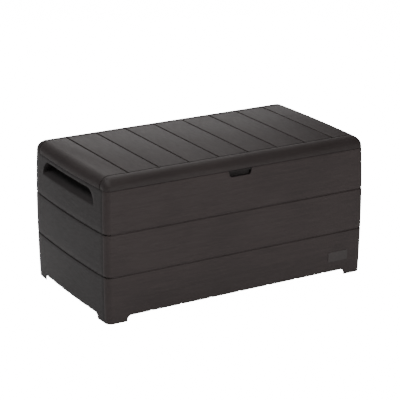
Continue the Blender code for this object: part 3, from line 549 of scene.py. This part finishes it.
def end_wall(name, side, node):
    low, high = FRONT + RETURN + 0.0006, REAR - RETURN - 0.0006
    count = 30
    spots = [low + (high - low) * k / count for k in range(count + 1)]
    columns = [(side * RIGHT, y, side, 0) for y in (spots if side > 0 else spots[::-1])]
    wall = moulded(name, bulge(curved_sheet(columns, wall_rows + shoulder_rows)), SKIN)
    gap = foot_gap(MIDDLE, DEPTH / 2 - FOOT_WIDTH, 0.086, 2)
    reach = sorted((side * (RIGHT + 0.03), side * (RIGHT - 0.05)))
    work(wall, moulded("foot_gap", slab(gap, "X", reach[0], reach[1])), "DIFFERENCE")
    housing = hold_shape("housing", side, 0.0035, 0.0034)
    for piece in (wall, housing):
        work(piece, hold_shape("hollow", side, 0, -0.02), "DIFFERENCE")
    ribs = bmesh.new()

    def span(near, far):
        return sorted((side * (RIGHT - near), side * (RIGHT - far)))

    near, far = span(BEHIND_SKIN, WALL)
    bays = even(low + RIB, high - RIB, 6)
    for k, a in enumerate([low + 0.0001, *[b for _, b in bays[:-1]], high - RIB - 0.0001]):
        under_hold = 0 < k < 6
        block(ribs, (near, a, RIB_LOW), (far, a + RIB, 0.4900 if under_hold else RIB_HIGH), 0.04)
    for bottom, top in BANDS:
        block(ribs, (near, low + 0.0002, bottom), (far, high - 0.0002, top), 0.03)
    near, far = span(WALL - RIB, WALL + SHELF_REACH)
    block(ribs, (near, low + 0.012, SHELF_LOW), (far, high - 0.012, SHELF_HIGH), 0.03)
    add_to(wall, housing, moulded("end_ribs", bulge(ribs)))
    return dress(wall, end_resin, "box", "wall_resin", node)


end_wall("left_end_wall", -1, "left_end_panel")
end_wall("right_end_wall", 1, "right_end_panel")


# ---- Lid ------------------------------------------------------------------------------------
# One large moulding with rolled edges. Its top looks like nine planks between a cross board
# in front and one at the rear, and the joints beside them run over the rolled ends.
ROLL = 0.043
plank_resin = resin("plank_resin", (0.0180, 0.0138, 0.0136), (0.0295, 0.0234, 0.0229), "Y", "X",
                    pitch=PLANK, start=PLANK / 2, roughness=0.56, cross=MIDDLE)
LID_EDGE = SHOULDER + 0.0012
LINER_BOTTOM, LINER_TOP = (corner.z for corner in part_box("lid_liner"))


def rounded_plan(half_x, half_y, corner, z):
    """A rounded rectangle whose ends are finely divided, so that they can bow."""
    points = []
    across, along = half_x - corner, half_y - corner
    for sx, sy, start in ((1, -1, 270), (1, 1, 0), (-1, 1, 90), (-1, -1, 180)):
        points += arc((sx * across, sy * along), (corner, corner), start, start + 90, 8)
        if sx != sy:
            points += [(sx * half_x, -sx * along * (1 - 2 * k / 28)) for k in range(1, 28)]
    return [(x, MIDDLE + y, z) for x, y in points]


def lid_plan(z, extra=0.0):
    """The lid's outline at one height, or with extra its hollow's."""
    bend = ROLL - extra
    rise = min(bend, max(0.0, z - (HEIGHT - ROLL)))
    turned = bend - math.sqrt(bend * bend - rise * rise)
    corner = (CORNER - extra) * (1 - turned / bend) + 0.008 * turned / bend
    return rounded_plan(RIGHT - extra - turned, DEPTH / 2 - extra - turned, corner, z)


ROLL_STEPS = [HEIGHT - ROLL + ROLL * math.sin(math.radians(a)) for a in range(0, 91, 6)]
lid_outlines = [lid_plan(z) for z in (LID_EDGE, LID_EDGE + 0.004, *ROLL_STEPS)]
lid = moulded("lid_moulding", bulge(drawn(lid_outlines)))
hollow_steps = [0.575, 0.590, HEIGHT - ROLL, 0.598, 0.603, 0.608, 0.612, LINER_TOP + 0.0005]
lid_hollow = moulded("lid_hollow", bulge(drawn([lid_plan(z, SKIN) for z in hollow_steps])))
work(lid, lid_hollow, "DIFFERENCE")


def put_in(shape, other):
    """Copies one bmesh into another, and frees it."""
    mesh = bpy.data.meshes.new("part")
    other.to_mesh(mesh)
    other.free()
    shape.from_mesh(mesh)
    bpy.data.meshes.remove(mesh)


plank_joints = bmesh.new()
joint_outline = [(-0.0054, 0.01), (-0.0054, 0.0004)]
joint_outline += [(dx, -inward * 0.92) for dx, inward in JOINT_SECTION]
joint_outline += [(0.0054, 0.0004), (0.0054, 0.01)]
plank_end = DEPTH / 2 - CROSS_BOARD
for k in range(8):
    outline = [((k - 3.5) * PLANK + dx, HEIGHT + dz) for dx, dz in joint_outline]
    put_in(plank_joints, slab(outline, "Y", MIDDLE - plank_end, MIDDLE + plank_end))
work(lid, moulded("plank_joints", plank_joints), "DIFFERENCE")


def over_the_lid(y, inward):
    """The line of a cross board's joint: up one end, over the top and down the other."""
    bend = ROLL - inward
    low = SHOULDER - 0.01
    left = arc((-RIGHT + ROLL, HEIGHT - ROLL), (bend, bend), 180, 90, 15)
    right = arc((RIGHT - ROLL, HEIGHT - ROLL), (bend, bend), 90, 0, 15)
    inner = [(-RIGHT + inward, low), *left, *right, (RIGHT - inward, low)]
    clear, above = RIGHT + 0.02, HEIGHT + 0.02
    outer = [(clear, low), (clear, above), (-clear, above), (-clear, low)]
    return [(x, y, z) for x, z in inner + outer]


for y in (MIDDLE - plank_end, MIDDLE + plank_end):
    stations = [over_the_lid(y + dy, inward * 0.45 - 0.0002) for dy, inward in JOINT_SECTION]
    work(lid, moulded("cross_board_joint", bulge(drawn(stations))), "DIFFERENCE")
lid_bosses = bmesh.new()
for x in hinge_spots:
    low, high = SHOULDER + 0.006, LINER_BOTTOM - 0.001
    block(lid_bosses, (x - 0.038, REAR - 0.020, low), (x + 0.038, REAR - 0.005, high))
add_to(lid, moulded("lid_bosses", lid_bosses))
dress(lid, plank_resin, "lid", "lid_resin", "lid_top", soften=0.0006)


# ---- Lid liner --------------------------------------------------------------------------------
# The lid's inner skin, a thin plain resin plate stiffened by three rows of raised pads.
def plain_finish(name, colour, rough, metallic=0.0, grain=260.0, relief=0.35, depth=0.0002,
                 streak=(1, 1, 1)):
    """A plain moulded or metal finish with a fine texture and uneven gloss."""
    made, parts, links = new_material(name)
    shader = parts["Principled BSDF"]
    place = parts.new("ShaderNodeTexCoord")
    fit = parts.new("ShaderNodeMapping")
    fit.inputs["Scale"].default_value = streak
    links.new(place.outputs["Object"], fit.inputs["Vector"])

    def noise(source, scale, detail):
        made_noise = parts.new("ShaderNodeTexNoise")
        made_noise.inputs["Scale"].default_value = scale
        made_noise.inputs["Detail"].default_value = detail
        links.new(source, made_noise.inputs["Vector"])
        return made_noise

    fine = noise(fit.outputs[0], grain, 3)
    broad = noise(place.outputs["Object"], 9, 4)
    tone = parts.new("ShaderNodeValToRGB")
    tone.color_ramp.elements[0].position = 0.3
    tone.color_ramp.elements[0].color = (*[c * 0.82 for c in colour], 1)
    tone.color_ramp.elements[1].position = 0.7
    tone.color_ramp.elements[1].color = (*[min(1, c * 1.22) for c in colour], 1)
    links.new(broad.outputs["Fac"], tone.inputs["Fac"])
    links.new(tone.outputs["Color"], shader.inputs["Base Color"])
    gloss = parts.new("ShaderNodeMapRange")
    gloss.inputs["From Min"].default_value = 0.3
    gloss.inputs["From Max"].default_value = 0.7
    gloss.inputs["To Min"].default_value = max(0.05, rough - 0.08)
    gloss.inputs["To Max"].default_value = rough + 0.08
    links.new(fine.outputs["Fac"], gloss.inputs["Value"])
    links.new(gloss.outputs["Result"], shader.inputs["Roughness"])
    bump = parts.new("ShaderNodeBump")
    bump.inputs["Strength"].default_value = relief
    bump.inputs["Distance"].default_value = depth
    links.new(fine.outputs["Fac"], bump.inputs["Height"])
    links.new(bump.outputs["Normal"], shader.inputs["Normal"])
    shader.inputs["Metallic"].default_value = metallic
    return made


inner_resin = plain_finish("inner_resin", (0.028, 0.0235, 0.0232), 0.58)
liner = bmesh.new()
liner_x, liner_y = RIGHT - 0.0135, DEPTH / 2 - 0.0135
put_in(liner, drawn([rounded_plan(liner_x, liner_y, 0.024, z) for z in (LINER_BOTTOM, LINER_TOP)]))
pad_low, pad_high = LINER_BOTTOM - 0.0016, LINER_BOTTOM + 0.0004
for column in range(9):
    for row in range(3):
        x, y = (column - 4) * 0.128, MIDDLE + (row - 1) * 0.200
        block(liner, (x - 0.054, y - 0.090, pad_low), (x + 0.054, y + 0.090, pad_high))
inner_skin = moulded("lid_inner_skin", bulge(liner))
dress(inner_skin, inner_resin, "lid", "inner_resin", "lid_liner", soften=0.0012)


# ---- Floor, its feet and the corner posts -------------------------------------------------------
# A ribbed resin floor rests on a shelf round the walls and on six feet. In each corner an
# L-shaped post ties two walls together. All are plain inside mouldings.
def refinish(name, look):
    """Gives a piece that keeps its CAD shape its own finish."""
    nodes[name].data.materials.clear()
    nodes[name].data.materials.append(look)


for name in nodes:
    if name.startswith("floor_") or name.endswith("_corner_post"):
        refinish(name, inner_resin)


# ---- Hinges -------------------------------------------------------------------------------------
# Three black nylon hinges on the rear, each two leaves on a steel pin with four steel screws.
nylon = plain_finish("hinge_nylon", (0.011, 0.0105, 0.0105), 0.42, grain=420)
bright_steel = plain_finish("bright_steel", (0.56, 0.56, 0.54), 0.26, metallic=1.0, grain=90,
                            relief=0.2, depth=0.0001, streak=(1, 18, 1))
for name in nodes:
    if "_hinge_" in name:
        refinish(name, nylon if name.endswith("_half") else bright_steel)


# ---- Gas struts ---------------------------------------------------------------------------------
# A black painted steel tube with a bright rod on each side, on nylon sockets and steel balls.
black_steel = plain_finish("black_steel", (0.012, 0.012, 0.013), 0.3, grain=160,
                           relief=0.15, depth=0.0001)
for name in nodes:
    if "strut" in name or "ball_stud" in name:
        finish = nylon
        if name.endswith("_rod") or name.endswith("ball_stud"):
            finish = bright_steel
        elif name.endswith("_tube") or name.endswith("lid_bracket"):
            finish = black_steel
        refinish(name, finish)


# ---- Lid bumpers and blank plate ----------------------------------------------------------------
# Two soft rubber buttons under the lid's front edge, and a plain plate low on the front.
rubber = plain_finish("bumper_rubber", (0.010, 0.010, 0.010), 0.8)
for name in ("left_lid_bumper", "right_lid_bumper"):
    refinish(name, rubber)
refinish("blank_plate", plain_finish("plate_resin", (0.0255, 0.0195, 0.0192), 0.5))
